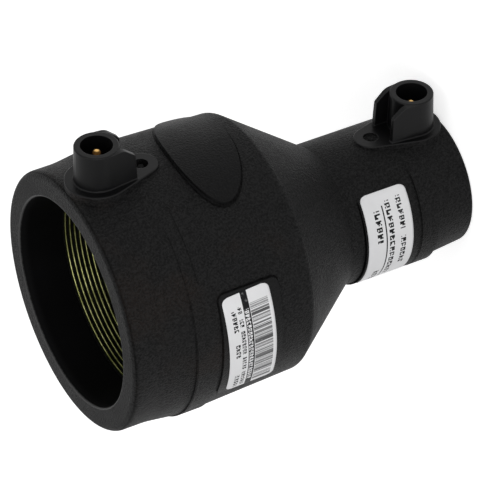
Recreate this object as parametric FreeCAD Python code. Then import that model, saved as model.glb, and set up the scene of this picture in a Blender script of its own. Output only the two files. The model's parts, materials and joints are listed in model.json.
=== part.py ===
import FreeCAD, Part
import math
import os
import types

# Electrofusion reducer for joining a 63 mm pipe to a 32 mm pipe, all lengths in millimetres.
# Frame: Z runs along the bore, from the small socket's mouth at Z = 0 to the large socket's mouth.
# X points to the two terminals, and the labels are on the -Y side.

# Pipes and sockets
large_pipe = 63.0            # outer diameter of the pipe that goes into the large socket
small_pipe = 32.0            # outer diameter of the pipe that goes into the small socket
large_play = 0.25            # gap around the large pipe
small_play = 0.20            # gap around the small pipe
large_depth = 47.5           # from the mouth to the stop
small_depth = 38.5
large_mouth_chamfer = 0.4    # the small mouth's inner edge is left sharp
large_pipe_wall = 5.8        # of the pipe; the waterway behind each stop is as wide as the pipe's bore
small_pipe_wall = 3.0
stop_length = 3.0            # straight bore behind each stop

# Outside of the moulding
small_length = 42.0          # from the small mouth to the cone
cone_length = 24.2
large_length = 57.3          # from the cone to the large mouth
small_wall = 5.7             # round the small bore
small_mouth_drop = 1.3       # how much lower the outside is at the mouth than over the wall
small_lip_drop = 0.4         # the same where the mouth's taper ends
small_lip_length = 11.4
large_wall = 8.65            # round the large bore, at the widest place
cone_drop = 1.0              # the cone's wide end, below the widest place
large_mouth_drop = 1.2       # the large mouth, below the widest place
large_lip_length = 9.0       # nearly straight part at the large mouth
large_lip_blend = 9.5        # slope from the widest place to the lip
large_flat_length = 9.8      # straight part at the widest place
small_mouth_round = 1.0
large_mouth_round = 2.0
cone_round = 2.0
neck_round = 1.0
blend_round = 30.0           # softens the shallow bends of the outside

# Raised bands, cast a little off centre, so that they fade out on one side
band_shift = 0.57
band_angle = -130.0          # the side on which the bands stand proud
large_band_drop = 0.15       # below the widest place
large_band_start = 19.0      # from the large mouth
large_band_width = 7.0
small_band_rise = 0.15
small_band_start = 13.2      # from the small mouth
small_band_width = 6.0
label_band_rise = 0.02
label_band_width = 18.8

# Terminals
pin_diameter = 4.0
pin_tip_chamfer = 1.0
pin_root_diameter = 4.6      # the pin's thicker part, held in the plastic
pin_collar_diameter = 5.6
pin_collar_height = 1.2
pin_cover = 2.0              # plastic between the pin's foot and the pipe bore
shroud_outer = 12.9          # at the rim
shroud_bore = 9.3
shroud_height = 11.4         # above the flange
shroud_draft = 0.35          # how much the shroud's radius grows from the rim down to the flange
shroud_floor = 1.0           # how far the shroud's bore goes below the flange
rim_round = 0.4
foot_round = 0.35            # hollow round between the shroud and the flange
wall_reach = 9.3             # from the pin to the end of the side walls
wall_lean = 6.5              # degrees by which each side wall leans in towards its end
wall_slot = 8.5              # between the side walls
wall_level_drop = 0.3        # the level part of a side wall's top, below the rim
wall_level = 5.6             # where a side wall's top starts to slope down, from the pin
wall_end_drop = 3.4          # a side wall's top at its end, below the rim
wall_bend = 3.5              # round where the slope starts
wall_corner = 1.0            # round at the end of the slope
flange_round = 0.35
well_distance = 13.7         # from the pin to the indicator
well_diameter = 4.4
well_rim = 2.9               # flange around the well
indicator_diameter = 1.8
indicator_seat = 2.2         # how deep the indicator sits below the well
large_pin_place = 9.9        # from the large mouth
small_pin_place = 10.0       # from the small mouth
large_flange_radius = 9.4    # round the pin
small_flange_radius = 9.0
large_flange_rise = 0.6      # flange above the crest of the body
small_flange_rise = 0.5
large_pin_drop = 1.6         # pin tip below the shroud's rim
small_pin_drop = 3.0
large_well_depth = 2.6
small_well_depth = 0.6
large_indicator_drop = 0.9   # the indicator's top, below the flange
small_indicator_drop = 0.45

# Heating wire
wire_diameter = 0.9
wire_proud = 0.12            # how far the turns stand out of the bore
wire_gap = 0.02
lead_diameter = 0.96         # of the straight runs inside the plastic
wire_pitch = 1.5
large_turns = 16
small_turns = 9
large_winding_start = 14.8   # from the large mouth
small_winding_start = 14.5   # from the small mouth
link_cover = 1.7             # depth of the link under the large bore

# Badge pad
badge_width = 20.0           # short axis of its oval
badge_length = 47.0          # long axis, round the body
badge_tilt = -8.0            # degrees between the long axis and the circumference
badge_centre_arc = 1.5       # along the circumference, from the terminals' line
badge_place = 42.5           # from the large mouth
badge_rise_near = 1.0        # at the side of the large mouth, above the widest place of the body
badge_rise_far = -0.3        # negative, because the body is narrower there

# Labels and their pads
label_width = 15.2
label_length = 36.2
label_thickness = 0.12
label_corner = 2.0
large_label_angle = -91.6
large_label_place = 36.9     # from the large mouth
large_label_tilt = 3.5       # degrees, stuck on a little askew
large_pad_rise = 0.30        # above the widest place of the body
large_pad_width = 19.2
large_pad_length = 38.0
large_pad_place = 37.1       # from the large mouth
small_label_angle = -91.0
small_label_place = 29.6     # from the small mouth

near = 0.01                  # edges that lie this close to a plane count as in it

# Values that follow from the sizes above
total_length = small_length + cone_length + large_length
large_bore_radius = large_pipe / 2 + large_play
small_bore_radius = small_pipe / 2 + small_play
large_waterway_radius = large_pipe / 2 - large_pipe_wall
small_waterway_radius = small_pipe / 2 - small_pipe_wall
large_radius = large_bore_radius + large_wall
large_mouth_radius = large_radius - large_mouth_drop
cone_radius = large_radius - cone_drop
large_band_radius = large_radius - large_band_drop
small_radius = small_bore_radius + small_wall
small_lip_radius = small_radius - small_lip_drop
small_mouth_radius = small_radius - small_mouth_drop
small_band_radius = small_radius + small_band_rise
label_band_radius = small_radius + label_band_rise
wire_radius = wire_diameter / 2
lead_radius = lead_diameter / 2
recess_depth = wire_diameter - wire_proud + wire_gap
large_wire_radius = large_bore_radius + wire_radius - wire_proud
small_wire_radius = small_bore_radius + wire_radius - wire_proud
large_wire_top = total_length - large_winding_start
large_wire_bottom = large_wire_top - large_turns * wire_pitch
small_wire_bottom = small_winding_start
small_wire_top = small_wire_bottom + small_turns * wire_pitch
large_stop = total_length - large_depth
large_pin_z = total_length - large_pin_place
large_flange_top = large_radius + large_flange_rise
small_flange_top = small_radius + small_flange_rise


def point(radius, height):
    return FreeCAD.Vector(radius, 0, height)


def rounded_wire(corners):
    """Closed wire through (point, radius) corners, with an arc of that radius at each corner.

    An arc takes at most half of each side that it joins.
    """
    starts = []
    ends = []
    middles = []
    count = len(corners)
    for index, (corner, radius) in enumerate(corners):
        before = corners[index - 1][0] - corner
        after = corners[(index + 1) % count][0] - corner
        shorter = min(before.Length, after.Length)
        angle = before.getAngle(after)
        before.normalize()
        after.normalize()
        radius = min(radius, shorter / 2 * math.tan(angle / 2))
        reach = radius / math.tan(angle / 2)
        starts.append(corner + before * reach)
        ends.append(corner + after * reach)
        bisector = before + after
        if radius > 0:
            bisector.normalize()
        middles.append(corner + bisector * (radius / math.sin(angle / 2) - radius))
    edges = []
    for index in range(count):
        if corners[index][1] > 0:
            edges.append(Part.Arc(starts[index], middles[index], ends[index]).toShape())
        following = (index + 1) % count
        edges.append(Part.LineSegment(ends[index], starts[following]).toShape())
    return Part.Wire(edges)


def turned(corners):
    """Solid of revolution about Z of a closed outline."""
    face = Part.Face(rounded_wire(corners))
    return face.revolve(FreeCAD.Vector(0, 0, 0), FreeCAD.Vector(0, 0, 1), 360)


def outer_form():
    cone_top = small_length + cone_length
    flat_end = total_length - large_lip_length - large_lip_blend
    flat_start = flat_end - large_flat_length
    return turned([
        (point(0, 0), 0),
        (point(small_mouth_radius, 0), small_mouth_round),
        (point(small_lip_radius, small_lip_length), 0),
        (point(small_radius, small_band_start + 1), 0),
        (point(small_radius, small_length), neck_round),
        (point(cone_radius, cone_top), cone_round),
        (point(large_radius, flat_start), blend_round),
        (point(large_radius, flat_end), blend_round),
        (point(large_mouth_radius, total_length - large_lip_length), blend_round),
        (point(large_mouth_radius, total_length), large_mouth_round),
        (point(0, total_length), 0),
    ])


def inner_form():
    """The empty space inside: both sockets, the winding recesses and the waterway."""
    turn = wire_pitch / 2
    large_recess = large_bore_radius + recess_depth
    small_recess = small_bore_radius + recess_depth
    return turned([
        (point(0, 0), 0),
        (point(small_bore_radius, 0), 0),
        (point(small_bore_radius, small_wire_bottom - turn), 0),
        (point(small_recess, small_wire_bottom - turn), 0),
        (point(small_recess, small_wire_top + turn), 0),
        (point(small_bore_radius, small_wire_top + turn), 0),
        (point(small_bore_radius, small_depth), 0),
        (point(small_waterway_radius, small_depth), 0),
        (point(small_waterway_radius, small_depth + stop_length), 0),
        (point(large_waterway_radius, large_stop - stop_length), 0),
        (point(large_waterway_radius, large_stop), 0),
        (point(large_bore_radius, large_stop), 0),
        (point(large_bore_radius, large_wire_bottom - turn), 0),
        (point(large_recess, large_wire_bottom - turn), 0),
        (point(large_recess, large_wire_top + turn), 0),
        (point(large_bore_radius, large_wire_top + turn), 0),
        (point(large_bore_radius, total_length - large_mouth_chamfer), 0),
        (point(large_bore_radius + large_mouth_chamfer, total_length), 0),
        (point(0, total_length), 0),
    ])


def band_centre(height):
    angle = math.radians(band_angle)
    return FreeCAD.Vector(band_shift * math.cos(angle), band_shift * math.sin(angle), height)


def band(radius, start, width):
    return Part.makeCylinder(radius, width, band_centre(start))


def end_terminals():
    """The two terminals: where each stands, which way its side walls reach, and its own sizes."""
    large = types.SimpleNamespace(
        end="large", z=large_pin_z, toward=-1, flange=large_flange_top,
        flange_radius=large_flange_radius, root=large_bore_radius + pin_cover,
        pin_drop=large_pin_drop, well_depth=large_well_depth, indicator_drop=large_indicator_drop)
    small = types.SimpleNamespace(
        end="small", z=small_pin_place, toward=1, flange=small_flange_top,
        flange_radius=small_flange_radius, root=small_bore_radius + pin_cover,
        pin_drop=small_pin_drop, well_depth=small_well_depth, indicator_drop=small_indicator_drop)
    for terminal in (large, small):
        terminal.rim = terminal.flange + shroud_height
        terminal.well_z = terminal.z + terminal.toward * well_distance
    return [large, small]


def pillar(radius, x, z, length):
    """Cylinder that stands on the X axis."""
    return Part.makeCylinder(radius, length, FreeCAD.Vector(x, 0, z), FreeCAD.Vector(1, 0, 0))


def teardrop(terminal):
    """Flange outline: a large circle round the pin and a small one round the well, with tangents."""
    end_radius = well_diameter / 2 + well_rim
    radius = terminal.flange_radius
    slope = (radius - end_radius) / well_distance
    side = math.cos(math.asin(slope))
    toward = terminal.toward

    def at(y, z):
        return FreeCAD.Vector(terminal.root, y, z)

    big = [at(s * radius * side, terminal.z + toward * radius * slope) for s in (-1, 1)]
    small = [at(s * end_radius * side, terminal.well_z + toward * end_radius * slope) for s in (-1, 1)]
    outline = Part.Wire([
        Part.Arc(big[0], at(0, terminal.z - toward * radius), big[1]).toShape(),
        Part.LineSegment(big[1], small[1]).toShape(),
        Part.Arc(small[1], at(0, terminal.well_z + toward * end_radius), small[0]).toShape(),
        Part.LineSegment(small[0], big[0]).toShape(),
    ])
    solid = Part.Face(outline).extrude(FreeCAD.Vector(terminal.flange - terminal.root, 0, 0))
    rim = [edge for edge in solid.Edges if edge.BoundBox.XMin > terminal.flange - near]
    return solid.makeFillet(flange_round, rim)


def shroud_outline(terminal, x):
    """Half circle round the pin that runs on into the side walls, at one height."""
    grow = shroud_draft * (terminal.rim - x) / shroud_height
    radius = shroud_outer / 2 + grow
    reach = wall_reach + grow
    lean = math.radians(wall_lean)
    end_half = (radius - reach * math.sin(lean)) / math.cos(lean)
    touch_y = radius * math.cos(lean)
    touch_z = terminal.z + terminal.toward * radius * math.sin(lean)
    end_z = terminal.z + terminal.toward * reach
    back = FreeCAD.Vector(x, 0, terminal.z - terminal.toward * radius)
    touch = [FreeCAD.Vector(x, s * touch_y, touch_z) for s in (-1, 1)]
    end = [FreeCAD.Vector(x, s * end_half, end_z) for s in (-1, 1)]
    return Part.Wire([
        Part.Arc(touch[0], back, touch[1]).toShape(),
        Part.LineSegment(touch[1], end[1]).toShape(),
        Part.LineSegment(end[1], end[0]).toShape(),
        Part.LineSegment(end[0], touch[0]).toShape(),
    ])


def wall_side(terminal):
    """Side view of the walls, as a plate as wide as the flange: level at first, then sloping down."""
    half = terminal.flange_radius

    def at(x, reach):
        return FreeCAD.Vector(x, -half, terminal.z + terminal.toward * reach)

    level = terminal.rim - wall_level_drop
    beyond = wall_reach + shroud_draft * 2
    back = -shroud_outer
    outline = rounded_wire([
        (at(terminal.root, back), 0),
        (at(level, back), 0),
        (at(level, wall_level), wall_bend),
        (at(terminal.rim - wall_end_drop, wall_reach), wall_corner),
        (at(terminal.root, beyond), 0),
    ])
    return Part.Face(outline).extrude(FreeCAD.Vector(0, 2 * half, 0))


def shroud_tube(terminal):
    height = terminal.rim - terminal.root
    foot = shroud_outer / 2 + shroud_draft * height / shroud_height
    tube = Part.makeCone(foot, shroud_outer / 2, height, FreeCAD.Vector(terminal.root, 0, terminal.z),
                         FreeCAD.Vector(1, 0, 0))
    rim = [edge for edge in tube.Edges if edge.BoundBox.XMin > terminal.rim - near]
    return tube.makeFillet(rim_round, rim)


def wall_gap(terminal, tube):
    """Space between the side walls, from the tube outwards."""
    slot = Part.makeBox(2 * shroud_height, wall_slot, 2 * wall_reach)
    slot_z = terminal.z if terminal.toward > 0 else terminal.z - 2 * wall_reach
    slot.translate(FreeCAD.Vector(terminal.flange, -wall_slot / 2, slot_z))
    return slot.cut(tube)


def terminal_solid(terminal):
    """Flange, shroud and side walls, as one solid that starts inside the wall."""
    tube = shroud_tube(terminal)
    outlines = [shroud_outline(terminal, x) for x in (terminal.root, terminal.rim)]
    walls = Part.makeLoft(outlines, True, True).common(wall_side(terminal))
    flange = teardrop(terminal)
    solid = flange.fuse([walls, tube]).removeSplitter()
    feet = []
    for edge in solid.Edges:
        box = edge.BoundBox
        level = abs(box.XMin - terminal.flange) < near and abs(box.XMax - terminal.flange) < near
        reach = max(abs(box.ZMin - terminal.z), abs(box.ZMax - terminal.z))
        width = max(abs(box.YMin), abs(box.YMax))
        if level and reach < wall_reach + 2 * shroud_draft and width < shroud_outer / 2 + 2 * shroud_draft:
            feet.append(edge)
    solid = solid.makeFillet(foot_round, feet)
    return solid.cut(wall_gap(terminal, tube))


def terminal_hollows(terminal):
    """Bore of the shroud and the indicator well."""
    bore = pillar(shroud_bore / 2, terminal.flange - shroud_floor, terminal.z,
                  shroud_floor + 2 * shroud_height)
    well = pillar(well_diameter / 2, terminal.flange - terminal.well_depth, terminal.well_z,
                  terminal.well_depth + shroud_height)
    return [bore, well]


def terminal_pin(terminal):
    length = terminal.rim - terminal.pin_drop - terminal.root
    radius = pin_diameter / 2
    shank = pillar(radius, terminal.root, terminal.z, length - pin_tip_chamfer)
    held = terminal.flange - shroud_floor - terminal.root
    thick = pillar(pin_root_diameter / 2, terminal.root, terminal.z, held)
    nose_place = FreeCAD.Vector(terminal.root + length - pin_tip_chamfer, 0, terminal.z)
    nose = Part.makeCone(radius, radius - pin_tip_chamfer, pin_tip_chamfer, nose_place,
                         FreeCAD.Vector(1, 0, 0))
    collar = pillar(pin_collar_diameter / 2, terminal.root, terminal.z, pin_collar_height)
    return shank.fuse([nose, thick, collar]).removeSplitter()


def fusion_indicator(terminal):
    foot = terminal.flange - terminal.well_depth - indicator_seat
    length = terminal.flange - terminal.indicator_drop - foot
    return pillar(indicator_diameter / 2, foot, terminal.well_z, length)


def winding(radius, bottom, turns):
    """Left-handed winding of round wire, from the bottom up, starting on the X side.

    It is made of half rings, each tilted so that the next one starts where it ends.
    """
    rise = wire_pitch / 2
    ring_radius = math.hypot(radius, rise / 2)
    tilt = math.degrees(math.atan2(rise / 2, radius))
    centre = FreeCAD.Vector(ring_radius, 0, 0)
    section = Part.Face(Part.Wire(Part.makeCircle(wire_radius, centre, FreeCAD.Vector(0, 1, 0))))
    halves = []
    for index in range(2 * turns):
        side = 1 if index % 2 else -1
        half = section.revolve(FreeCAD.Vector(0, 0, 0), FreeCAD.Vector(0, 0, 1), side * 180)
        half.rotate(FreeCAD.Vector(0, 0, 0), FreeCAD.Vector(0, 1, 0), -side * tilt)
        half.translate(FreeCAD.Vector(0, 0, bottom + (index + 0.5) * rise))
        halves.append(half)
    return halves[0].fuse(halves[1:])


def straight_wires(points, radius):
    """Round wire along straight runs in the XZ plane, with a ball at each bend and end."""
    pieces = [Part.makeSphere(radius, place) for place in points]
    for start, end in zip(points, points[1:]):
        run = end - start
        pieces.append(Part.makeCylinder(radius, run.Length, start, run))
    return pieces[0].fuse(pieces[1:])


def wire_routes():
    """Lead to the large pin, link from one winding to the other, and lead to the small pin."""
    large_lead = [
        point(large_wire_radius, large_wire_top),
        point(large_bore_radius + pin_cover + pin_collar_height / 2, large_pin_z),
    ]
    small_lead = [
        point(small_wire_radius, small_wire_bottom),
        point(small_bore_radius + pin_cover + pin_collar_height / 2, small_pin_place),
    ]
    wide_end = point(large_bore_radius + link_cover, large_stop + stop_length)
    middle = (large_waterway_radius + cone_radius) / 2
    neck = (small_bore_radius + small_radius) / 2 + wire_radius
    link = [
        point(large_wire_radius, large_wire_bottom),
        wide_end,
        point(middle - stop_length, small_length + cone_length),
        point(neck, small_length - wire_diameter),
        point(small_wire_radius, small_wire_top),
    ]
    return [large_lead, link, small_lead]


def rounded_plate(centre_z, width, length, corner, depth):
    """Plate with rounded corners, standing on the X axis: width along Z and length along Y."""
    half_y = length / 2
    half_z = width / 2
    corners = []
    for y, z in ((-half_y, -half_z), (half_y, -half_z), (half_y, half_z), (-half_y, half_z)):
        corners.append((FreeCAD.Vector(0, y, centre_z + z), corner))
    return Part.Face(rounded_wire(corners)).extrude(FreeCAD.Vector(depth, 0, 0))


def wrapped(radius, centre, centre_z, width, length, corner, angle, tilt=0):
    """Part of a cylinder's surround that a rounded plate covers when it is bent round it."""
    chord = 2 * radius * math.sin(length / radius / 2)
    plate = rounded_plate(centre_z, width, chord, corner, radius * 2)
    plate.rotate(FreeCAD.Vector(0, 0, centre_z), FreeCAD.Vector(1, 0, 0), tilt)
    plate.rotate(FreeCAD.Vector(0, 0, 0), FreeCAD.Vector(0, 0, 1), angle)
    plate.translate(centre)
    return plate


def label(radius, centre, centre_z, angle, tilt=0):
    outer = Part.makeCylinder(radius + label_thickness, total_length, centre)
    shell = outer.cut(Part.makeCylinder(radius, total_length, centre))
    cover = wrapped(radius, centre, centre_z, label_width, label_length, label_corner, angle, tilt)
    return shell.common(cover)


def label_pad():
    """Raised land under the large label."""
    radius = large_radius + large_pad_rise
    centre_z = total_length - large_pad_place
    drum = Part.makeCylinder(radius, total_length)
    cover = wrapped(radius, FreeCAD.Vector(0, 0, 0), centre_z, large_pad_width, large_pad_length,
                    label_corner, large_label_angle)
    return drum.common(cover)


def badge_pad():
    """Raised oval land on a slightly conical surface; it carries no sign."""
    origin = FreeCAD.Vector(0, 0, 0)
    centre_z = total_length - badge_place
    chord = 2 * large_radius * math.sin(badge_length / large_radius / 2)
    oval = Part.Wire(Part.Ellipse(origin, chord / 2, badge_width / 2).toShape())
    plate = Part.Face(oval).extrude(FreeCAD.Vector(0, 0, 2 * large_radius))
    plate.rotate(origin, FreeCAD.Vector(1, 1, 1), 120)
    plate.rotate(origin, FreeCAD.Vector(1, 0, 0), badge_tilt)
    plate.rotate(origin, FreeCAD.Vector(0, 0, 1), math.degrees(badge_centre_arc / large_radius))
    plate.translate(FreeCAD.Vector(0, 0, centre_z))
    tilt = math.radians(badge_tilt)
    half = math.hypot(chord / 2 * math.sin(tilt), badge_width / 2 * math.cos(tilt))
    drum = Part.makeCone(large_radius + badge_rise_far, large_radius + badge_rise_near,
                         2 * half, FreeCAD.Vector(0, 0, centre_z - half))
    return drum.common(plate)


def save(name, shape):
    shape.exportStep("parts/" + name + ".step")


def main():
    os.makedirs("parts", exist_ok=True)
    terminals = end_terminals()
    bands = [
        band(large_band_radius, total_length - large_band_start - large_band_width, large_band_width),
        band(small_band_radius, small_band_start, small_band_width),
        band(label_band_radius, small_band_start + small_band_width, label_band_width),
    ]
    body = outer_form().fuse(bands)
    body = body.fuse([label_pad(), badge_pad()])
    body = body.fuse([terminal_solid(terminal) for terminal in terminals])
    body = body.removeSplitter().cut(inner_form())

    pins = []
    for terminal in terminals:
        pin = terminal_pin(terminal)
        indicator = fusion_indicator(terminal)
        body = body.cut(terminal_hollows(terminal))
        body = body.cut([pin, indicator])
        pins.append(pin)
        save(terminal.end + "_terminal_pin", pin)
        save(terminal.end + "_fusion_indicator", indicator)

    routes = wire_routes()
    channels = [straight_wires(route, lead_radius + wire_gap) for route in routes]
    body = body.cut(channels)
    wires = [straight_wires(route, lead_radius) for route in routes]
    wires.append(winding(small_wire_radius, small_wire_bottom, small_turns))
    heating_wire = winding(large_wire_radius, large_wire_bottom, large_turns).fuse(wires)
    heating_wire = heating_wire.cut(pins)

    save("body", body)
    save("heating_wire", heating_wire)
    save("large_label", label(large_radius + large_pad_rise, FreeCAD.Vector(0, 0, 0),
                              total_length - large_label_place, large_label_angle, large_label_tilt))
    save("small_label", label(label_band_radius, band_centre(0),
                              small_label_place, small_label_angle))


main()
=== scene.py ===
import json
import math

import bmesh
import bpy
import numpy as np
from mathutils import Matrix, Vector


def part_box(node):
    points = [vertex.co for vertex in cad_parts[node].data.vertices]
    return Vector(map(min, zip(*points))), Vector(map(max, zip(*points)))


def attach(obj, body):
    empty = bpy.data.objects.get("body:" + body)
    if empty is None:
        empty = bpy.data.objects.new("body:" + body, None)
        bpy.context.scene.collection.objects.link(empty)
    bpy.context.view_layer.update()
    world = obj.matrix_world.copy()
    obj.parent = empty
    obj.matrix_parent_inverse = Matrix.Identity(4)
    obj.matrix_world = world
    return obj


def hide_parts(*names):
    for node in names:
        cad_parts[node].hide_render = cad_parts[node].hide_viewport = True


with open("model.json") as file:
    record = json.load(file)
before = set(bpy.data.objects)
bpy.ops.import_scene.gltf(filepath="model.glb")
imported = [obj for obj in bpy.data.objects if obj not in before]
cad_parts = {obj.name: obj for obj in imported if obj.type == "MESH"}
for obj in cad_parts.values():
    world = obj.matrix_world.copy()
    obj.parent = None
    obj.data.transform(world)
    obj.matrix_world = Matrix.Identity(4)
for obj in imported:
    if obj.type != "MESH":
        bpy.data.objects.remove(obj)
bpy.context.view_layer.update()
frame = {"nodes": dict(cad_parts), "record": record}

MM = 0.001
mounts = {mount["name"]: mount for mount in frame["record"]["mounts"]}

# Sizes of the moulding that the new pieces fit, in millimetres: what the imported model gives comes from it
total_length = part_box("body")[1][2] / MM
large_bore = mounts["large_socket"]["dims"]["r_mm"]
small_bore = mounts["small_socket"]["dims"]["r_mm"]
large_crest = 40.4           # radius of the large barrel's widest band, on which arcs are measured
large_land = 40.7            # land under the large label
small_land = 21.92           # band under the small label
band_shift = 0.57            # the small band is cast off centre, towards band_angle
band_angle = -130.0

# Heating wire
wire_diameter = 0.9
wire_proud = 0.12
crest_height = (0.09, 0.03)  # the wire shows its own colour from the first height out of the bore, and is painted shade below the second
wire_pitch = 1.5
large_turns = 16
small_turns = 9
large_wire_top = total_length - 14.8
small_wire_bottom = 14.5
lead_diameter = 0.96
lead_drop = 2.8              # along Z, from a pin's middle to the lead that meets its collar
cone_lead = [(large_bore + 1.7, 79.0), (29.55, 66.2), (19.5, 41.1)]  # radius and height in the cone's wall
turn_steps = 96              # points on each turn
least_across = 0.05          # below it, a path counts as running along Z
large_wire_sides = 12
small_wire_sides = 10
lead_sides = 10
lead_step = 0.5              # distance between the points along a lead

# Terminals
pin_radius = mounts["large_terminal"]["dims"]["r_mm"]
pin_dome = 2.0               # height of the rounded end
pin_collar = (5.6, 1.2)      # diameter and height
pin_root = (4.6, 1.0)        # diameter, and how far its top lies below the flange
pin_root_edge = 0.15         # chamfer below the shank
pin_band = 4.0               # the last ring of the shank lies this far below the tip
pin_sides = 40
dome_rings = 15
pole_merge = 1e-7            # points closer than this many metres are one
large_flange_face = 41.0     # distance of a flange's face from the body's axis
small_flange_face = 22.4

# Raised lands: height, place along the circumference, size, and the corner or the tilt
pad_land = {"z": 86.4, "arc": -64.59, "width": 19.2, "length": 38.0, "corner": 2.0}
badge_land = {"z": 81.0, "arc": 1.5, "width": 20.0, "length": 47.0, "tilt": -8.0}

# Where the plastic's finish changes: heights, distances from the axis, and margins beyond a bore
wide_from = 74.5             # bottom of the large barrel
narrow_to = 40.0             # top of the small barrel
neck_to = 76.5
neck_slope = 0.4             # the waterway's cone: radius per height
neck_start = 0.5
large_wall = (0.25, 0.75)    # a bore's smooth wall fades out between these margins
small_wall = (0.5, 0.7)
face_from = 122.0            # end face of the large mouth
lip_from = 123.0             # lip between the face and the bore, which carries a painted highlight
lip_wall = (0.35, 0.65)
entry_reflection_rise = (120.2, 122.4)
rim_radius = 38.7            # outer edge of the large mouth
edge_radius = 32.1           # its inner edge
wide_skin = 38.5             # outer skin of the large barrel
narrow_skin = (21.0, 22.6)   # and of the small one
terminal_half = 9.6          # the terminals reach this far to both sides
large_flange_rise = {"x": (40.4, 40.8), "z": (94.5, 95.5)}
small_flange_rise = {"x": (22.0, 22.3), "z": (29.0, 30.0)}

neck_margin = 0.4            # how far inside the cone its smooth wall begins
land_margin = (-0.2, 0.1)    # the smooth top of a raised land ends between these distances from its outline
edge_round = 0.25            # how far the finish rounds sharp edges
edge_highlight_width = 0.32             # width of the painted highlights on the edges of the terminals
edge_match = (0.86, 0.985)   # how well the rounded normal agrees with the real one at an edge, and beside it
foot_place = 0.17            # painted shade line at the foot of a raised land: how far outside its outline
foot_width = (0.08, 0.33)    # half of its dark middle, and of the whole line
rim_width = 0.3              # half the painted shade line at the outer edge of the large mouth
glint_width = (0.08, 0.3)    # half of the bright middle of its inner edge, and of the whole line

# Grain of the plastic: its noises in cells a metre, and its depth in millimetres
noise_middle = 0.5
cloud_edges = (0.3, 0.7)     # the clouds' usual range in the plastic
metal_edges = (0.2, 0.8)     # and in the metals
coarse_grain = 1700
fine_grain = 3900
cloud_grain = 60
scuff_grain = 45
pit_edges = (0.32, 0.68)     # the coarse noise is a pit below the first and a crest above the second
pit_share = 0.65             # parts of the two noises in the relief
fine_share = 0.6
grain_middle = 0.62          # its mean height
grain_depth = 0.34
sleek_relief = 0.04          # strength of the relief where the plastic is smooth
grain_relief = 0.86          # and what the grain adds
cloud_share = 0.6            # how much the clouds lighten and darken the skin
speck_share = 1.15           # how much the grain does
land_share = 0.55            # how much smoother a raised land is
scuff_edges = (0.50, 0.66)   # where a patch of scuffs begins and is full
scuff_specks = (0.35, 0.65)  # and the same within its grain

# How strongly each kind of mark shows: lines of painted shade, scuffs, and painted highlights on edges
pad_mark = 0.55
badge_mark = 0.6
ring_line_mark = 0.5
rim_mark = 0.55
mark_depth = 1.6             # its depth beside the grain's
shade_line_tone = 0.85
scuff_tone = 0.35
edge_highlight_tone = 0.6

# Roughness and gloss of the plastic
roughness = (0.33, 0.42)
grain_roughness = 0.14
sleek_gloss = 0.105
grain_gloss = -0.062         # added where the grain is full
relief_gloss = 0.05          # added on the crests of the grain
bore_gloss = -0.4            # shares that are added in these places
mark_gloss = -0.8
badge_gloss = -0.35
terminal_gloss = 0.3

# Colours of the plastic
pit_tone = (0.0034, 0.0034, 0.0035, 1)
crest_tone = (0.0118, 0.0117, 0.0119, 1)
sleek_dark = (0.0016, 0.0016, 0.0018, 1)
sleek_light = (0.0044, 0.0044, 0.0047, 1)
# painted shade in fine dark lines at the feet of lands, at band edges and at the large mouth's outer edge
painted_shade_colour = (0.0006, 0.0006, 0.0006, 1)
scuff_colour = (0.022, 0.013, 0.009, 1)
bore_colour = (0.0026, 0.0026, 0.0028, 1)
# painted reflection in a band just inside the large bore's entry
entry_reflection_colour = (0.0062, 0.0062, 0.0065, 1)
# painted highlight: the lip's grain specks, far lighter than the plastic's
lip_dark_speck = (0.002, 0.002, 0.002, 1)
lip_highlight_speck = (0.030, 0.030, 0.030, 1)
glint_colour = (0.055, 0.055, 0.055, 1)
# painted highlight on the sharp edges of the terminals
edge_highlight_colour = (0.045, 0.045, 0.046, 1)

# Lines of painted shade round the body at edges of the lands and bands: height, line width, and the angles
# between which each one shows
large_ring_lines = [(104.35, 0.24, -150, -30), (100.6, 0.22, -62, -20)]
small_ring_lines = [(19.0, 0.26, -150, -38), (38.0, 0.22, -170, -45)]
ring_line_fade = 8                # degrees over which such a line fades out

# Labels
label_width = 15.2
label_length = 36.2
label_corner = 2.0
label_thickness = 0.12
label_back = 0.005           # gap between the label's back and the plastic
label_rows = 61
label_columns = 25
large_label_place = {"radius": large_land, "z": 86.6, "angle": -91.6, "tilt": 3.5, "shift": 0.0}
small_label_place = {"radius": small_land, "z": 29.6, "angle": -91.0, "tilt": 0.0, "shift": band_shift}

# Print on the labels, in shares of the label as the camera sees it: s runs to the right and t down, from
# the upper left corner
large_rows = [
    {"centre": 0.185, "height": 0.095, "pitch": 0.037, "words": [(0.13, 0.32), (0.44, 0.58), (0.80, 0.97)]},
    {"centre": 0.315, "height": 0.085, "pitch": 0.030,
     "words": [(0.11, 0.17), (0.22, 0.29), (0.33, 0.56), (0.59, 0.74), (0.77, 0.97)]},
]
sign_row = {"centre": 0.455, "height": 0.09, "pitch": 0.033, "words": [(0.15, 0.92)]}
strip_band = (0.395, 0.53)
bar_field = {"s": (0.54, 0.925), "t": (0.105, 0.965)}
bar_count = 185              # bars that would fit along the whole label, about a third of them left white
bar_gaps = 0.34
bar_groups = 37              # stretches of bars with a strength of their own
bar_strength = (0.60, 0.30)  # least, and what is added at random
small_rows = [
    {"centre": 0.265, "height": 0.125, "pitch": 0.058, "words": [(0.15, 0.43), (0.76, 0.98)]},
    {"centre": 0.525, "height": 0.11, "pitch": 0.056, "words": [(0.09, 0.86)]},
    {"centre": 0.775, "height": 0.11, "pitch": 0.050, "words": [(0.08, 0.36), (0.43, 0.74)]},
]
rule_field = {"s": (0.393, 0.420), "t": (0.12, 0.90)}
sign_columns = 4             # columns of dots in the place of a letter: the last one stays empty
sign_lines = 5
dot_gaps = 0.42              # share of the dots that are left out
ink_wear = 900               # noise in cells a metre
ink_edges = (0.2, 0.4)       # where the print is worn most and not at all
large_ink = 0.85             # strength of the print where it is worn most
small_ink = 0.75

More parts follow.
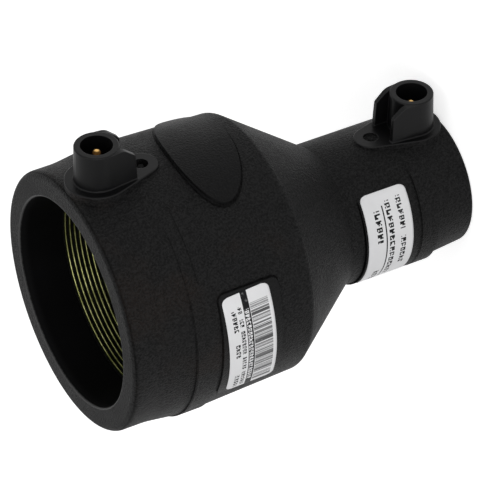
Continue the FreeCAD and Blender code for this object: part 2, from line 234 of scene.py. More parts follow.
# Colours of the labels, the brass and the wire
film_tones = [(0.70, 0.70, 0.71, 1), (0.80, 0.80, 0.81, 1)]
film_finish = {"clouds": 160, "ripples": 500, "ripple_strength": 0.08, "ripple_depth": 0.1,
               "roughness": 0.5, "gloss": 0.35}
ink_colour = (0.009, 0.009, 0.010, 1)
ink_finish = {"roughness": -0.12, "gloss": -0.27}  # what full ink adds to the film's
brass_tones = [(0.62, 0.36, 0.11, 1), (0.80, 0.52, 0.20, 1)]
# painted shade on the pins, everywhere but the middle of their ends
shaded_brass = [(0.025, 0.011, 0.003, 1), (0.07, 0.034, 0.009, 1)]
shade_edge = (0.3, 1.0)     # the pin's end keeps the brass colour inside the first radius and turns to painted shade by the second
brass_clouds = 700
brass_roughness = (0.18, 0.30)
wire_crest_tones = [(0.19, 0.20, 0.06, 1), (0.52, 0.52, 0.24, 1)]
# painted shade on the wire's flank, below its crest
wire_flank_shade = (0.026, 0.030, 0.007, 1)
wire_clouds = 260
flank_roughness = 0.5
crest_roughness = -0.2       # what the crest adds to the flank's
wire_middle = 60.0           # height between the two windings

# Camera: place in millimetres, directions, and lens
camera_place = (622.50, -685.07, 461.47)
camera_right = (0.0046, -0.4985, -0.8669)
camera_forward = (-0.6204, 0.6785, -0.3934)
camera_lens = 248.36
camera_sensor = 36.0
camera_clip = (0.05, 10.0)

# Lamps: places and sides in metres, and strength in watts
lamp_target = (0.0, 0.0, 0.07)
lamps = [
    {"name": "top_softbox", "place": (1.1, -0.35, 0.55), "side": 0.9, "watts": 1.6},
    {"name": "side_softbox", "place": (0.3, -1.2, 0.62), "side": 0.8, "watts": 6.0},
    {"name": "mouth_softbox", "place": (0.35, -0.3, 1.3), "side": 0.8, "watts": 2.6},
]

# World and floor: half the floor's side in millimetres
pure_white = (1.0, 1.0, 1.0, 1)
world_strength = 0.42
floor_half = 6000.0
floor_colour = (0.86, 0.86, 0.86, 1)
floor_roughness = 0.9
floor_glow = 0.62            # brings the floor up to white where the camera sees it


# Places of the pins

def pin_place(node, mount, flange_face):
    """Height of a pin's middle line, its two ends along X and its flange's face, in millimetres."""
    low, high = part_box(node)
    height = mounts[mount]["pos_m"][2]
    return {"z": height / MM, "foot": low[0] / MM, "tip": high[0] / MM, "flange": flange_face}


large_pin = pin_place("large_terminal_pin", "large_terminal", large_flange_face)
small_pin = pin_place("small_terminal_pin", "small_terminal", small_flange_face)


# Mesh helpers

def add_mesh(name, points, faces, uv=None):
    """Object from an (n, 3) array of millimetre points and rows of face indices, smooth shaded."""
    mesh = bpy.data.meshes.new(name)
    mesh.from_pydata((np.asarray(points) * MM).tolist(), [], faces)
    if uv is not None:
        layer = mesh.uv_layers.new(name="UVMap")
        corner = np.zeros(len(mesh.loops), dtype=np.int32)
        mesh.loops.foreach_get("vertex_index", corner)
        layer.data.foreach_set("uv", np.asarray(uv, dtype=np.float32)[corner].ravel())
    mesh.polygons.foreach_set("use_smooth", np.ones(len(mesh.polygons), dtype=bool))
    mesh.update()
    piece = bpy.data.objects.new(name, mesh)
    bpy.context.scene.collection.objects.link(piece)
    return piece


def grid_faces(rows, columns, wrap_rows=False, wrap_columns=False):
    """Quads of a grid of points, numbered row by row; a wrapped side joins its last line to its first."""
    r = np.arange(rows if wrap_rows else rows - 1)
    c = np.arange(columns if wrap_columns else columns - 1)
    r, c = np.meshgrid(r, c, indexing="ij")
    r2 = (r + 1) % rows
    c2 = (c + 1) % columns
    quads = np.stack([r * columns + c, r * columns + c2, r2 * columns + c2, r2 * columns + c], axis=-1)
    return quads.reshape(-1, 4).tolist()


def tube_mesh(path, radius, sides):
    """Round tube: at each point of the path, a circle in the plane square to the path, with flat ends.

    The circle's first direction is the path's direction crossed with Z, or with X where the path
    runs along Z.
    """
    along = np.gradient(path, axis=0)
    along /= np.linalg.norm(along, axis=1, keepdims=True)
    across = np.cross(along, np.array([0.0, 0.0, 1.0]))
    upright = np.linalg.norm(across, axis=1) < least_across
    across[upright] = np.cross(along[upright], np.array([1.0, 0.0, 0.0]))
    across /= np.linalg.norm(across, axis=1, keepdims=True)
    up = np.cross(across, along)
    turn = np.linspace(0, 2 * np.pi, sides, endpoint=False)[None, :, None]
    circle = across[:, None, :] * np.cos(turn) + up[:, None, :] * np.sin(turn)
    points = (path[:, None, :] + radius * circle).reshape(-1, 3)
    faces = grid_faces(len(path), sides, wrap_columns=True)
    last = (len(path) - 1) * sides
    faces.append(list(range(sides))[::-1])
    faces.append([last + i for i in range(sides)])
    return points, faces


def joined(parts):
    """Points and faces of several meshes as one."""
    points = []
    faces = []
    count = 0
    for part_points, part_faces in parts:
        points.append(part_points)
        faces += [[i + count for i in face] for face in part_faces]
        count += len(part_points)
    return np.concatenate(points), faces


def recalculate(piece, merge=0.0):
    """Turns every face of a closed mesh outwards, after points closer than merge metres are joined."""
    bm = bmesh.new()
    bm.from_mesh(piece.data)
    if merge:
        bmesh.ops.remove_doubles(bm, verts=bm.verts, dist=merge)
    bmesh.ops.recalc_face_normals(bm, faces=bm.faces)
    bm.to_mesh(piece.data)
    bm.free()


# Pieces

def helix(radius, bottom, turns):
    """Left-handed winding: the angle runs clockwise from +X and the height rises by the pitch each turn."""
    t = np.linspace(0, turns, turns * turn_steps + 1)
    angle = -2 * np.pi * t
    return np.stack([radius * np.cos(angle), radius * np.sin(angle), bottom + wire_pitch * t], axis=1)


def straight(points):
    """Evenly spaced points along straight runs, with both ends of each run.

    A point is (1 - share) times the run's start plus share times its end.
    """
    rows = []
    for start, end in zip(points, points[1:]):
        count = max(2, int(math.dist(start, end) / lead_step))
        share = np.linspace(0, 1, count)[:, None]
        rows.append(np.array(start) * (1 - share) + np.array(end) * share)
    return np.concatenate(rows)


def heating_wire():
    """Two windings of round wire in the bores, with their leads to the pins."""
    radius = wire_diameter / 2
    large_radius = large_bore + radius - wire_proud
    small_radius = small_bore + radius - wire_proud
    large_bottom = large_wire_top - large_turns * wire_pitch
    small_top = small_wire_bottom + small_turns * wire_pitch
    parts = [
        tube_mesh(helix(large_radius, large_bottom, large_turns), radius, large_wire_sides),
        tube_mesh(helix(small_radius, small_wire_bottom, small_turns), radius, small_wire_sides),
    ]
    collar = pin_collar[1] / 2
    large_end = (large_pin["foot"] + collar, 0, large_pin["z"] - lead_drop)
    small_end = (small_pin["foot"] + collar, 0, small_pin["z"] + lead_drop)
    in_cone = [(x, 0, z) for x, z in cone_lead]
    leads = [
        [(large_radius, 0, large_wire_top), large_end],
        [(small_radius, 0, small_wire_bottom), small_end],
        [(large_radius, 0, large_bottom), *in_cone, (small_radius, 0, small_top)],
    ]
    for lead in leads:
        parts.append(tube_mesh(straight(lead), lead_diameter / 2, lead_sides))
    points, faces = joined(parts)
    piece = add_mesh("heating_wire_turns", points, faces)
    recalculate(piece)
    return piece


def lathe_x(profile, z, segments):
    """Surface of revolution about the line along X at height z, from profile points (x, radius).

    y is the radius times the cosine of the turn, and the height is z plus the radius times its sine.
    A radius of 0 at both ends closes the surface.
    """
    profile = np.asarray(profile, dtype=float)
    turn = np.linspace(0, 2 * np.pi, segments, endpoint=False)[None, :]
    x = np.repeat(profile[:, :1], segments, axis=1)
    y = profile[:, 1:] * np.cos(turn)
    height = z + profile[:, 1:] * np.sin(turn)
    points = np.stack([x, y, height], axis=-1).reshape(-1, 3)
    faces = grid_faces(len(profile), segments, wrap_columns=True)
    return points, faces


def terminal_pin(name, pin):
    """Turned pin: a collar, a root, a shank, and an end that is half an ellipsoid.

    Along the dome, x grows with the sine of the bend, and the radius shrinks with its cosine.
    """
    tip = pin["tip"]
    bend = np.linspace(0, np.pi / 2, dome_rings)
    dome = np.stack([tip - pin_dome + pin_dome * np.sin(bend), pin_radius * np.cos(bend)], axis=1)
    dome[-1, 1] = 0
    foot = pin["foot"]
    collar = pin_collar[0] / 2
    root = pin_root[0] / 2
    root_top = pin["flange"] - pin_root[1]
    shank = [(foot, 0), (foot, collar), (foot + pin_collar[1], collar), (foot + pin_collar[1], root),
             (root_top - pin_root_edge, root), (root_top, root - pin_root_edge),
             (root_top, pin_radius), (tip - pin_band, pin_radius)]
    points, faces = lathe_x(np.concatenate([shank, dome]), pin["z"], pin_sides)
    piece = add_mesh(name + "_turned", points, faces)
    recalculate(piece, pole_merge)
    return piece


def rounded_rectangle(u, v, width, length, corner):
    """Maps the unit square onto a rectangle with round corners.

    Near each end of the length, the width shrinks as the corner's circle does, so every line across
    the label ends on its outline.
    """
    along = (v - 0.5) * length
    over = np.clip(np.abs(along) - (length / 2 - corner), 0, corner)
    half = width / 2 - (corner - np.sqrt(np.maximum(corner ** 2 - over ** 2, 0)))
    return (u * 2 - 1) * half, along


def label_sheet(name, place):
    """Thin sheet bent round the body: across runs along Z, along runs round the body.

    Both faces lie on cylinders, the back close to the plastic, and a strip joins them at the outline.
    A tilted label is turned in its plane before it is bent: each point's angle is its arc divided by
    the radius. The rows' places are the mean of even spacing and of cosine spacing, so they lie closer
    together towards both ends, where the corners are.
    """
    rows = label_rows
    columns = label_columns
    even = np.linspace(0, 1, rows)
    eased = (1 - np.cos(np.pi * even)) / 2
    v, u = np.meshgrid((even + eased) / 2, np.linspace(0, 1, columns), indexing="ij")
    across, along = rounded_rectangle(u, v, label_width, label_length, label_corner)
    tilt = math.radians(place["tilt"])
    z = place["z"] + across * math.cos(tilt) + along * math.sin(tilt)
    arc = along * math.cos(tilt) - across * math.sin(tilt)
    angle = math.radians(place["angle"]) + arc / place["radius"]
    shift_x = place["shift"] * math.cos(math.radians(band_angle))
    shift_y = place["shift"] * math.sin(math.radians(band_angle))

    def skin(lift):
        r = place["radius"] + lift
        return np.stack([shift_x + r * np.cos(angle), shift_y + r * np.sin(angle), z], axis=-1).reshape(-1, 3)

    front = skin(label_thickness)
    back = skin(label_back)
    count = rows * columns
    faces = grid_faces(rows, columns)
    faces += [[i + count for i in face][::-1] for face in faces]
    grid = np.arange(count).reshape(rows, columns)
    border = np.concatenate([grid[0, :-1], grid[:-1, -1], grid[-1, :0:-1], grid[:0:-1, 0]])
    following = np.roll(border, -1)
    faces += np.stack([border, border + count, following + count, following], axis=1).tolist()
    uv = np.stack([across / label_width + 0.5, along / label_length + 0.5], axis=-1).reshape(-1, 2)
    piece = add_mesh(name + "_sheet", np.concatenate([front, back]), faces, np.concatenate([uv, uv]))
    recalculate(piece)
    return piece


# Materials

class Nodes:
    """Small helper that builds a material's nodes."""

    def __init__(self, name):
        self.material = bpy.data.materials.new(name)
        self.material.use_nodes = True
        self.tree = self.material.node_tree
        self.tree.nodes.clear()
        self.output = self.tree.nodes.new("ShaderNodeOutputMaterial")
        self.shader = self.tree.nodes.new("ShaderNodeBsdfPrincipled")
        self.link(self.shader.outputs[0], self.output.inputs[0])
        self.coords = self.tree.nodes.new("ShaderNodeTexCoord")

    def link(self, a, b):
        """Joins an output socket to an input socket."""
        self.tree.links.new(a, b)

    def set(self, **values):
        """Fixed values on the shader's own sockets."""
        for key, value in values.items():
            self.shader.inputs[key.replace("_", " ")].default_value = value

    def node(self, kind, **inputs):
        """New node with some of its inputs set or linked."""
        made = self.tree.nodes.new(kind)
        for key, value in inputs.items():
            self.feed(made.inputs[key.replace("_", " ")], value)
        return made

    def feed(self, socket, value):
        """Links a socket or sets a plain value."""
        if isinstance(value, bpy.types.NodeSocket):
            self.link(value, socket)
        else:
            socket.default_value = value

    def position(self):
        """X, Y and Z of the point, on the object's own coordinates in metres."""
        return self.node("ShaderNodeSeparateXYZ", Vector=self.coords.outputs["Object"]).outputs

    def math(self, operation, a, b=0.0, c=0.0, clamp=False):
        """Result of one sum."""
        made = self.tree.nodes.new("ShaderNodeMath")
        made.operation = operation
        made.use_clamp = clamp
        self.feed(made.inputs[0], a)
        self.feed(made.inputs[1], b)
        self.feed(made.inputs[2], c)
        return made.outputs[0]

    def noise(self, scale, detail=2.0, roughness=0.5):
        """Noise on the object's own coordinates, with its scale in cells a metre."""
        made = self.tree.nodes.new("ShaderNodeTexNoise")
        self.link(self.coords.outputs["Object"], made.inputs["Vector"])
        made.inputs["Scale"].default_value = scale
        made.inputs["Detail"].default_value = detail
        made.inputs["Roughness"].default_value = roughness
        return made.outputs[0]

    def ramp(self, value, low, high, low_out=0.0, high_out=1.0):
        """Smooth step from low_out at low to high_out at high."""
        made = self.tree.nodes.new("ShaderNodeMapRange")
        made.interpolation_type = "SMOOTHSTEP"
        self.feed(made.inputs["Value"], value)
        for key, number in zip(("From Min", "From Max", "To Min", "To Max"), (low, high, low_out, high_out)):
            made.inputs[key].default_value = number
        return made.outputs["Result"]

    def mix(self, share, a, b):
        """Colour a where the share is 0 and b where it is 1."""
        made = self.tree.nodes.new("ShaderNodeMix")
        made.data_type = "RGBA"
        self.feed(made.inputs[0], share)
        self.feed(made.inputs[6], a)
        self.feed(made.inputs[7], b)
        return made.outputs[2]

    def bump(self, height, strength, distance, normal=None):
        """Normal of a relief of this height, on top of another normal where one is given."""
        made = self.tree.nodes.new("ShaderNodeBump")
        self.feed(made.inputs["Height"], height)
        self.feed(made.inputs["Strength"], strength)
        made.inputs["Distance"].default_value = distance
        if normal is not None:
            self.link(normal, made.inputs["Normal"])
        return made.outputs[0]


def hypotenuse(m, a, b):
    """Square root of a squared plus b squared."""
    return m.math("SQRT", m.math("MULTIPLY_ADD", a, a, m.math("MULTIPLY", b, b)))


def either(m, *masks):
    """The largest of several masks."""
    largest = masks[0]
    for mask in masks[1:]:
        largest = m.math("MAXIMUM", largest, mask)
    return largest


def inside_band(m, value, low, high):
    """1 where the value lies between low and high."""
    return m.math("MULTIPLY", m.math("GREATER_THAN", value, low), m.math("LESS_THAN", value, high))


def rounded_field(m, across, along, half_across, half_along, corner):
    """Distance from the outline of a rounded rectangle, negative inside it."""
    a = m.math("SUBTRACT", m.math("ABSOLUTE", across), half_across - corner)
    b = m.math("SUBTRACT", m.math("ABSOLUTE", along), half_along - corner)
    a_out = m.math("MAXIMUM", a, 0.0)
    b_out = m.math("MAXIMUM", b, 0.0)
    outside = hypotenuse(m, a_out, b_out)
    inside = m.math("MINIMUM", m.math("MAXIMUM", a, b), 0.0)
    return m.math("SUBTRACT", m.math("ADD", outside, inside), corner)


def oval_field(m, across, along, land):
    """Roughly the distance from the outline of a tilted oval, negative inside it."""
    tilt = math.radians(land["tilt"])
    long_way = m.math("MULTIPLY_ADD", along, math.cos(tilt), m.math("MULTIPLY", across, math.sin(tilt)))
    short_way = m.math("MULTIPLY_ADD", across, math.cos(tilt), m.math("MULTIPLY", along, -math.sin(tilt)))
    u = m.math("DIVIDE", long_way, land["length"] / 2 * MM)
    v = m.math("DIVIDE", short_way, land["width"] / 2 * MM)
    size = hypotenuse(m, u, v)
    return m.math("MULTIPLY", m.math("SUBTRACT", size, 1.0), land["width"] / 2 * MM)


def ring_line(m, z, angle, place, width, start, end):
    """Fine line round the body at one height, between two angles in degrees, fading out at its ends."""
    line = m.ramp(m.math("ABSOLUTE", m.math("SUBTRACT", z, place * MM)), 0.0, width * MM, 1.0, 0.0)
    first = m.ramp(angle, math.radians(start), math.radians(start + ring_line_fade))
    last = m.ramp(angle, math.radians(end - ring_line_fade), math.radians(end), 1.0, 0.0)
    return m.math("MULTIPLY", line, m.math("MULTIPLY", first, last))


def edge_share(m):
    """Near 1 at a sharp edge, where the rounded normal leaves the surface's own, and 0 elsewhere."""
    rounded = m.node("ShaderNodeBevel", Radius=edge_highlight_width * MM).outputs[0]
    match = m.tree.nodes.new("ShaderNodeVectorMath")
    match.operation = "DOT_PRODUCT"
    m.link(rounded, match.inputs[0])
    m.link(m.node("ShaderNodeNewGeometry").outputs["Normal"], match.inputs[1])
    return m.ramp(match.outputs["Value"], *edge_match, 1.0, 0.0)


def foot_line(m, distance):
    """Fine line just outside an outline, for painted shade at a land's foot."""
    away = m.math("ABSOLUTE", m.math("SUBTRACT", distance, foot_place * MM))
    return m.ramp(away, foot_width[0] * MM, foot_width[1] * MM, 1.0, 0.0)


def rise(m, value, limits):
    """0 below the first of two places in millimetres and 1 above the second."""
    return m.ramp(value, limits[0] * MM, limits[1] * MM)


def beyond(m, r, bore, margin):
    """1 on the wall of a bore, fading to 0 between two margins outside it."""
    return m.ramp(r, (bore + margin[0]) * MM, (bore + margin[1]) * MM, 1.0, 0.0)


def inside_walls(m, r, z):
    """1 on both bores and on the cone of the waterway between them."""
    wide = m.math("GREATER_THAN", z, wide_from * MM)
    large_inside = m.math("MULTIPLY", wide, beyond(m, r, large_bore, large_wall))
    narrow = m.math("LESS_THAN", z, narrow_to * MM)
    small_inside = m.math("MULTIPLY", narrow, beyond(m, r, small_bore, small_wall))
    cone_wall = m.math("SUBTRACT", r, m.math("MULTIPLY_ADD", z, neck_slope, neck_start * MM))
    neck = m.math("LESS_THAN", z, neck_to * MM)
    neck_inside = m.math("MULTIPLY", neck, m.ramp(cone_wall, -neck_margin * MM, 0.0, 1.0, 0.0))
    return either(m, large_inside, small_inside, neck_inside)


def terminal_skin(m, x, y, z):
    """1 on the flanges, shrouds and side walls of both terminals."""
    facing = m.math("LESS_THAN", m.math("ABSOLUTE", y), terminal_half * MM)
    large_flange = m.math("MULTIPLY", rise(m, x, large_flange_rise["x"]), rise(m, z, large_flange_rise["z"]))
    small_top = m.math("SUBTRACT", 1.0, rise(m, z, small_flange_rise["z"]))
    small_flange = m.math("MULTIPLY", rise(m, x, small_flange_rise["x"]), small_top)
    return m.math("MULTIPLY", facing, either(m, large_flange, small_flange))


def land_distances(m, arc, z):
    """Distance from the outlines of the pad under the large label and of the badge pad."""
    pad = rounded_field(m, m.math("SUBTRACT", z, pad_land["z"] * MM),
                        m.math("SUBTRACT", arc, pad_land["arc"] * MM),
                        pad_land["width"] / 2 * MM, pad_land["length"] / 2 * MM, pad_land["corner"] * MM)
    badge = oval_field(m, m.math("SUBTRACT", z, badge_land["z"] * MM),
                       m.math("SUBTRACT", arc, badge_land["arc"] * MM), badge_land)
    return pad, badge


def large_face(m, z):
    """1 on the end face of the large mouth."""
    return m.math("GREATER_THAN", z, face_from * MM)


def painted_shade_lines(m, r, angle, z, pad, badge, wide_side):
    """Strength of the fine lines of painted shade: feet of the lands, edges of the lands and bands, and the
    outer edge of the large mouth.
    """
    shade_lines = either(m, m.math("MULTIPLY", foot_line(m, pad), pad_mark),
                   m.math("MULTIPLY", foot_line(m, badge), badge_mark))
    for line in large_ring_lines:
        shade_lines = either(m, shade_lines, m.math("MULTIPLY", ring_line(m, z, angle, *line), ring_line_mark))
    shade_lines = m.math("MULTIPLY", shade_lines, wide_side)
    narrow_side = inside_band(m, r, narrow_skin[0] * MM, narrow_skin[1] * MM)
    for line in small_ring_lines:
        shade_lines = either(m, shade_lines, m.math("MULTIPLY", ring_line(m, z, angle, *line), narrow_side))
    from_rim = m.math("ABSOLUTE", m.math("SUBTRACT", r, rim_radius * MM))
    rim_line = m.ramp(from_rim, 0.0, rim_width * MM, rim_mark, 0.0)
    return either(m, shade_lines, m.math("MULTIPLY", large_face(m, z), rim_line))


def body_plastic():
    """Black polyethylene: spark-eroded grain outside, smooth on the bores, terminals and raised pads.

    Fine dark lines at the feet of the raised pads, at edges of the lands and bands and at the outer edge of
    the large mouth are painted shade over fine grooves, and brownish scuffs lie on the large barrel. The
    edges of the terminals, the lip and inner edge of the large bore, and a band at its entry are painted
    highlights and reflection.
    """
    m = Nodes("black_polyethylene")
    x, y, z = m.position()
    r = hypotenuse(m, x, y)
    angle = m.math("ARCTAN2", y, x)
    inside = inside_walls(m, r, z)
    terminals = terminal_skin(m, x, y, z)
    wide_side = m.math("GREATER_THAN", r, wide_skin * MM)
    pad, badge = land_distances(m, m.math("MULTIPLY", angle, large_crest * MM), z)
    pad_top = m.ramp(pad, land_margin[0] * MM, land_margin[1] * MM, 1.0, 0.0)
    badge_top = m.ramp(badge, land_margin[0] * MM, land_margin[1] * MM, 1.0, 0.0)
    badge_top = m.math("MULTIPLY", badge_top, wide_side)
    raised = either(m, pad_top, badge_top)
    smooth = either(m, inside, terminals, m.math("MULTIPLY", raised, land_share))
    grain = m.math("SUBTRACT", 1.0, smooth, clamp=True)
    shade_lines = painted_shade_lines(m, r, angle, z, pad, badge, wide_side)

    # Relief
    fine = m.noise(fine_grain, detail=1.5)
    clouds = m.noise(cloud_grain, detail=3.0, roughness=0.55)
    pits = m.ramp(m.noise(coarse_grain), *pit_edges)
    relief = m.math("ADD", m.math("MULTIPLY", pits, pit_share), m.math("MULTIPLY", fine, fine_share))
    # the lines of painted shade also cut a fine groove in the relief
    height = m.math("SUBTRACT", relief, m.math("MULTIPLY", shade_lines, mark_depth))
    strength = either(m, m.math("MULTIPLY_ADD", grain, grain_relief, sleek_relief), shade_lines)
    rounded = m.node("ShaderNodeBevel", Radius=edge_round * MM).outputs[0]
    m.link(m.bump(height, strength, grain_depth * MM, rounded), m.shader.inputs["Normal"])

    # Colour
    speck = m.math("MULTIPLY_ADD", m.math("SUBTRACT", relief, grain_middle),
                   m.math("MULTIPLY", grain, speck_share), noise_middle)
    shade = m.math("MULTIPLY_ADD", m.math("SUBTRACT", clouds, noise_middle), cloud_share, speck, clamp=True)
    tone = m.mix(smooth, m.mix(shade, pit_tone, crest_tone), m.mix(clouds, sleek_dark, sleek_light))
    # painted shade: dark lines at the feet of the lands, at edges of the lands and bands and at the mouth's
    # outer edge
    tone = m.mix(m.math("MULTIPLY", shade_lines, shade_line_tone), tone, painted_shade_colour)
    patches = m.math("MULTIPLY", m.ramp(m.noise(scuff_grain), *scuff_edges), m.ramp(fine, *scuff_specks))
    scuffs = m.math("MULTIPLY", m.math("MULTIPLY", patches, grain), wide_side)
    tone = m.mix(m.math("MULTIPLY", scuffs, scuff_tone), tone, scuff_colour)
    tone = m.mix(inside, tone, bore_colour)
    # painted reflection: a lighter band on the bore's wall just inside the large mouth
    tone = m.mix(m.math("MULTIPLY", inside, rise(m, z, entry_reflection_rise)), tone, entry_reflection_colour)
    # painted highlight: the lip at the large bore's edge keeps the grain's pattern in far lighter specks
    lip_highlight = m.math("MULTIPLY", m.math("GREATER_THAN", z, lip_from * MM), beyond(m, r, large_bore, lip_wall))
    tone = m.mix(lip_highlight, tone, m.mix(pits, lip_dark_speck, lip_highlight_speck))
    from_edge = m.math("ABSOLUTE", m.math("SUBTRACT", r, edge_radius * MM))
    edge_line = m.ramp(from_edge, glint_width[0] * MM, glint_width[1] * MM, 1.0, 0.0)
    tone = m.mix(m.math("MULTIPLY", large_face(m, z), edge_line), tone, glint_colour)
    # painted highlight: the terminals' sharp edges are lightened where lamps would catch them
    edge_highlight = m.math("MULTIPLY", m.math("MULTIPLY", terminals, edge_share(m)), edge_highlight_tone)
    m.link(m.mix(edge_highlight, tone, edge_highlight_colour), m.shader.inputs["Base Color"])

    # Sheen
    rough = m.math("MULTIPLY_ADD", grain, grain_roughness, m.ramp(clouds, *cloud_edges, *roughness))
    m.link(rough, m.shader.inputs["Roughness"])
    skin_gloss = m.math("MULTIPLY_ADD", relief, relief_gloss, grain_gloss)
    gloss = m.math("MULTIPLY_ADD", grain, skin_gloss, sleek_gloss)
    for place, share in ((inside, bore_gloss), (shade_lines, mark_gloss), (badge_top, badge_gloss),
                         (terminals, terminal_gloss)):
        gloss = m.math("MULTIPLY", gloss, m.math("MULTIPLY_ADD", place, share, 1.0))
    m.link(gloss, m.shader.inputs["Specular IOR Level"])
    return m.material


def pin_brass(name, pin):
    """Brass in its own colour at the middle of the pin's end, with painted shade over the rest of the pin."""
    m = Nodes(name)
    y, z = m.position()[1:]
    height = m.math("SUBTRACT", z, pin["z"] * MM)
    r = hypotenuse(m, y, height)
    clouds = m.noise(brass_clouds, detail=3.0, roughness=0.6)
    end = m.ramp(r, shade_edge[0] * MM, shade_edge[1] * MM, 1.0, 0.0)
    # painted shade: the pin is darkened everywhere but the middle of its end
    tone = m.mix(end, m.mix(clouds, *shaded_brass), m.mix(clouds, *brass_tones))
    m.link(tone, m.shader.inputs["Base Color"])
    m.set(Metallic=1.0)
    m.link(m.ramp(clouds, *metal_edges, *brass_roughness), m.shader.inputs["Roughness"])
    return m.material


def crest_line(m, r, bore):
    """1 on the part of the wire that stands well out of a bore."""
    return m.ramp(r, (bore - crest_height[0]) * MM, (bore - crest_height[1]) * MM, 1.0, 0.0)


def wire_alloy():
    """Yellowish wire in its own colour on the crest that stands out of the bore, and painted shade below it.
    """
    m = Nodes("wire_copper_alloy")
    x, y, z = m.position()
    r = hypotenuse(m, x, y)
    large_crest_line = crest_line(m, r, large_bore)
    small_crest_line = crest_line(m, r, small_bore)
    wide = m.math("GREATER_THAN", z, wire_middle * MM)
    crest = m.math("ADD", m.math("MULTIPLY", wide, large_crest_line),
                   m.math("MULTIPLY", m.math("SUBTRACT", 1.0, wide), small_crest_line))
    clouds = m.noise(wire_clouds)
    bright = m.mix(m.ramp(clouds, *metal_edges), *wire_crest_tones)
    # painted shade: the wire's flank below the crest, where it sinks into the bore's wall
    m.link(m.mix(crest, wire_flank_shade, bright), m.shader.inputs["Base Color"])
    m.set(Metallic=1.0)
    m.link(m.math("MULTIPLY_ADD", crest, crest_roughness, flank_roughness), m.shader.inputs["Roughness"])
    return m.material


def white_noise(m, a, b=0.5):
    """A fixed random number for each pair of whole numbers."""
    vector = m.node("ShaderNodeCombineXYZ", X=a, Y=b, Z=0.0)
    made = m.tree.nodes.new("ShaderNodeTexWhiteNoise")
    made.noise_dimensions = "2D"
    m.link(vector.outputs[0], made.inputs["Vector"])
    return made.outputs["Value"]


def greeked_row(m, s, t, row):
    """Blocks that stand for writing: a full first column and two more with dots left out at random."""
    low = row["centre"] - row["height"] / 2
    high = row["centre"] + row["height"] / 2
    column = m.math("FLOOR", m.math("DIVIDE", t, row["pitch"] / sign_columns))
    line = m.math("FLOOR", m.math("DIVIDE", m.math("SUBTRACT", s, low), row["height"] / sign_lines))
    place = m.math("MODULO", column, float(sign_columns))
    dots = m.math("GREATER_THAN", white_noise(m, column, line), dot_gaps)
    dots = either(m, dots, m.math("LESS_THAN", place, 0.5))
    filled = m.math("LESS_THAN", place, sign_columns - 1.5)
    words = either(m, *[inside_band(m, t, start, end) for start, end in row["words"]])
    signs = m.math("MULTIPLY", dots, filled)
    return m.math("MULTIPLY", signs, m.math("MULTIPLY", words, inside_band(m, s, low, high)))


def filled_box(m, s, t, box):
    """1 inside a rectangle of the label."""
    return m.math("MULTIPLY", inside_band(m, s, *box["s"]), inside_band(m, t, *box["t"]))


def label_film(name, printing, least_ink):
    """White film with a soft sheen and black printing; s runs to the right and t down, both 0 to 1."""
    m = Nodes(name)
    uv = m.node("ShaderNodeSeparateXYZ", Vector=m.coords.outputs["UV"])
    s = m.math("SUBTRACT", 1.0, uv.outputs[0])
    t = m.math("SUBTRACT", 1.0, uv.outputs[1])
    ink = m.math("MULTIPLY", printing(m, s, t), m.ramp(m.noise(ink_wear), *ink_edges, least_ink, 1.0))
    white = m.mix(m.noise(film_finish["clouds"], detail=3.0), *film_tones)
    m.link(m.mix(ink, white, ink_colour), m.shader.inputs["Base Color"])
    rough = m.math("MULTIPLY_ADD", ink, ink_finish["roughness"], film_finish["roughness"])
    m.link(rough, m.shader.inputs["Roughness"])
    gloss = m.math("MULTIPLY_ADD", ink, ink_finish["gloss"], film_finish["gloss"])
    m.link(gloss, m.shader.inputs["Specular IOR Level"])
    ripples = m.noise(film_finish["ripples"])
    relief = m.bump(ripples, film_finish["ripple_strength"], film_finish["ripple_depth"] * MM)
    m.link(relief, m.shader.inputs["Normal"])
    return m.material


def large_printing(m, s, t):
    """Two rows of blocks, a black strip with light signs, and a stack of bars."""
    rows = [greeked_row(m, s, t, row) for row in large_rows]
    signs = greeked_row(m, s, t, sign_row)
    strip = m.math("SUBTRACT", inside_band(m, s, *strip_band), signs, clamp=True)
    bar = m.math("FLOOR", m.math("MULTIPLY", t, float(bar_count)))
    group = m.math("FLOOR", m.math("MULTIPLY", t, float(bar_groups)))
    black = m.math("GREATER_THAN", white_noise(m, bar), bar_gaps)
    least, added = bar_strength
    weight = m.math("MULTIPLY_ADD", white_noise(m, group), added, least)
    bars = m.math("MULTIPLY", m.math("MULTIPLY", black, filled_box(m, s, t, bar_field)), weight)
    return either(m, *rows, strip, bars)


def small_printing(m, s, t):
    """Three rows of blocks and a thin rule."""
    rows = [greeked_row(m, s, t, row) for row in small_rows]
    return either(m, *rows, filled_box(m, s, t, rule_field))


def give(piece, material):
    """Makes a material the piece's only one."""
    piece.data.materials.clear()
    piece.data.materials.append(material)


plastic = body_plastic()
wire_metal = wire_alloy()
film = {
    "large_label": label_film("large_label_film", large_printing, large_ink),
    "small_label": label_film("small_label_film", small_printing, small_ink),
}

give(frame["nodes"]["body"], plastic)
for node in ("large_fusion_indicator", "small_fusion_indicator"):
    give(frame["nodes"][node], plastic)

wire = heating_wire()
give(wire, wire_metal)
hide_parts("heating_wire")
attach(wire, "root")

for node, pin in (("large_terminal_pin", large_pin), ("small_terminal_pin", small_pin)):
    turned = terminal_pin(node, pin)
    give(turned, pin_brass(node + "_brass", pin))
    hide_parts(node)
    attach(turned, "root")

for node, place in (("large_label", large_label_place), ("small_label", small_label_place)):
    sheet = label_sheet(node, place)
    give(sheet, film[node])
    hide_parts(node)
    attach(sheet, "root")


# Camera, fitted to the photograph's outline of the fitting

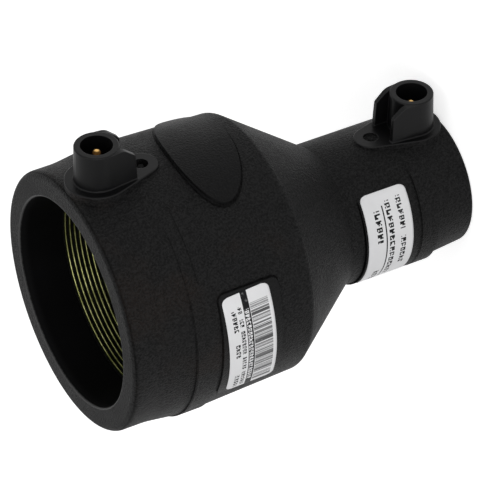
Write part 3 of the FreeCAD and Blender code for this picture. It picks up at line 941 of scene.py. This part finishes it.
camera_data = bpy.data.cameras.new("photo_camera")
camera = bpy.data.objects.new("photo_camera", camera_data)
bpy.context.scene.collection.objects.link(camera)
right = Vector(camera_right).normalized()
forward = Vector(camera_forward).normalized()
down = forward.cross(right).normalized()
turned_axes = Matrix((right, -down, -forward)).transposed().to_4x4()
camera.matrix_world = Matrix.Translation(Vector(camera_place) * MM) @ turned_axes
camera_data.lens = camera_lens
camera_data.sensor_width = camera_sensor
camera_data.clip_start, camera_data.clip_end = camera_clip
bpy.context.scene.camera = camera


# Floor, world and lamps

def seen_directly(tree):
    """1 for camera, glossy and transmission rays."""
    path = tree.nodes.new("ShaderNodeLightPath")
    share = path.outputs["Is Camera Ray"]
    for ray in ("Is Glossy Ray", "Is Transmission Ray"):
        larger = tree.nodes.new("ShaderNodeMath")
        larger.operation = "MAXIMUM"
        tree.links.new(share, larger.inputs[0])
        tree.links.new(path.outputs[ray], larger.inputs[1])
        share = larger.outputs[0]
    return share


def background(tree, strength):
    """White light from all round."""
    made = tree.nodes.new("ShaderNodeBackground")
    made.inputs["Color"].default_value = pure_white
    made.inputs["Strength"].default_value = strength
    return made.outputs[0]


def studio_world():
    """White where it is seen directly or in a reflection, and a plain grey light on the object."""
    world = bpy.data.worlds.new("studio")
    bpy.context.scene.world = world
    world.use_nodes = True
    tree = world.node_tree
    tree.nodes.clear()
    output = tree.nodes.new("ShaderNodeOutputWorld")
    mix = tree.nodes.new("ShaderNodeMixShader")
    tree.links.new(seen_directly(tree), mix.inputs[0])
    tree.links.new(background(tree, world_strength), mix.inputs[1])
    tree.links.new(background(tree, 1.0), mix.inputs[2])
    tree.links.new(mix.outputs[0], output.inputs[0])


def pale_floor():
    """Plane at the height of the small mouth; it shows white and keeps a soft shadow."""
    half = floor_half
    corners = np.array([(-half, -half, 0), (half, -half, 0), (half, half, 0), (-half, half, 0)])
    floor = add_mesh("floor", corners, [[0, 1, 2, 3]])
    m = Nodes("pale_floor")
    m.set(Roughness=floor_roughness, Base_Color=floor_colour)
    glow = m.node("ShaderNodeEmission", Color=pure_white, Strength=floor_glow)
    add = m.tree.nodes.new("ShaderNodeAddShader")
    mix = m.tree.nodes.new("ShaderNodeMixShader")
    m.link(m.shader.outputs[0], add.inputs[0])
    m.link(glow.outputs[0], add.inputs[1])
    m.link(seen_directly(m.tree), mix.inputs[0])
    m.link(m.shader.outputs[0], mix.inputs[1])
    m.link(add.outputs[0], mix.inputs[2])
    m.link(mix.outputs[0], m.output.inputs[0])
    give(floor, m.material)


def softbox(name, place, side, watts):
    """Square area lamp that points at the middle of the fitting."""
    data = bpy.data.lights.new(name, "AREA")
    data.shape = "RECTANGLE"
    data.size = side
    data.size_y = side
    data.energy = watts
    made = bpy.data.objects.new(name, data)
    bpy.context.scene.collection.objects.link(made)
    made.location = place
    made.rotation_mode = "QUATERNION"
    made.rotation_quaternion = (Vector(lamp_target) - Vector(place)).to_track_quat("-Z", "Y")


studio_world()
pale_floor()
for box in lamps:
    softbox(**box)

bpy.context.scene.view_settings.view_transform = "Standard"
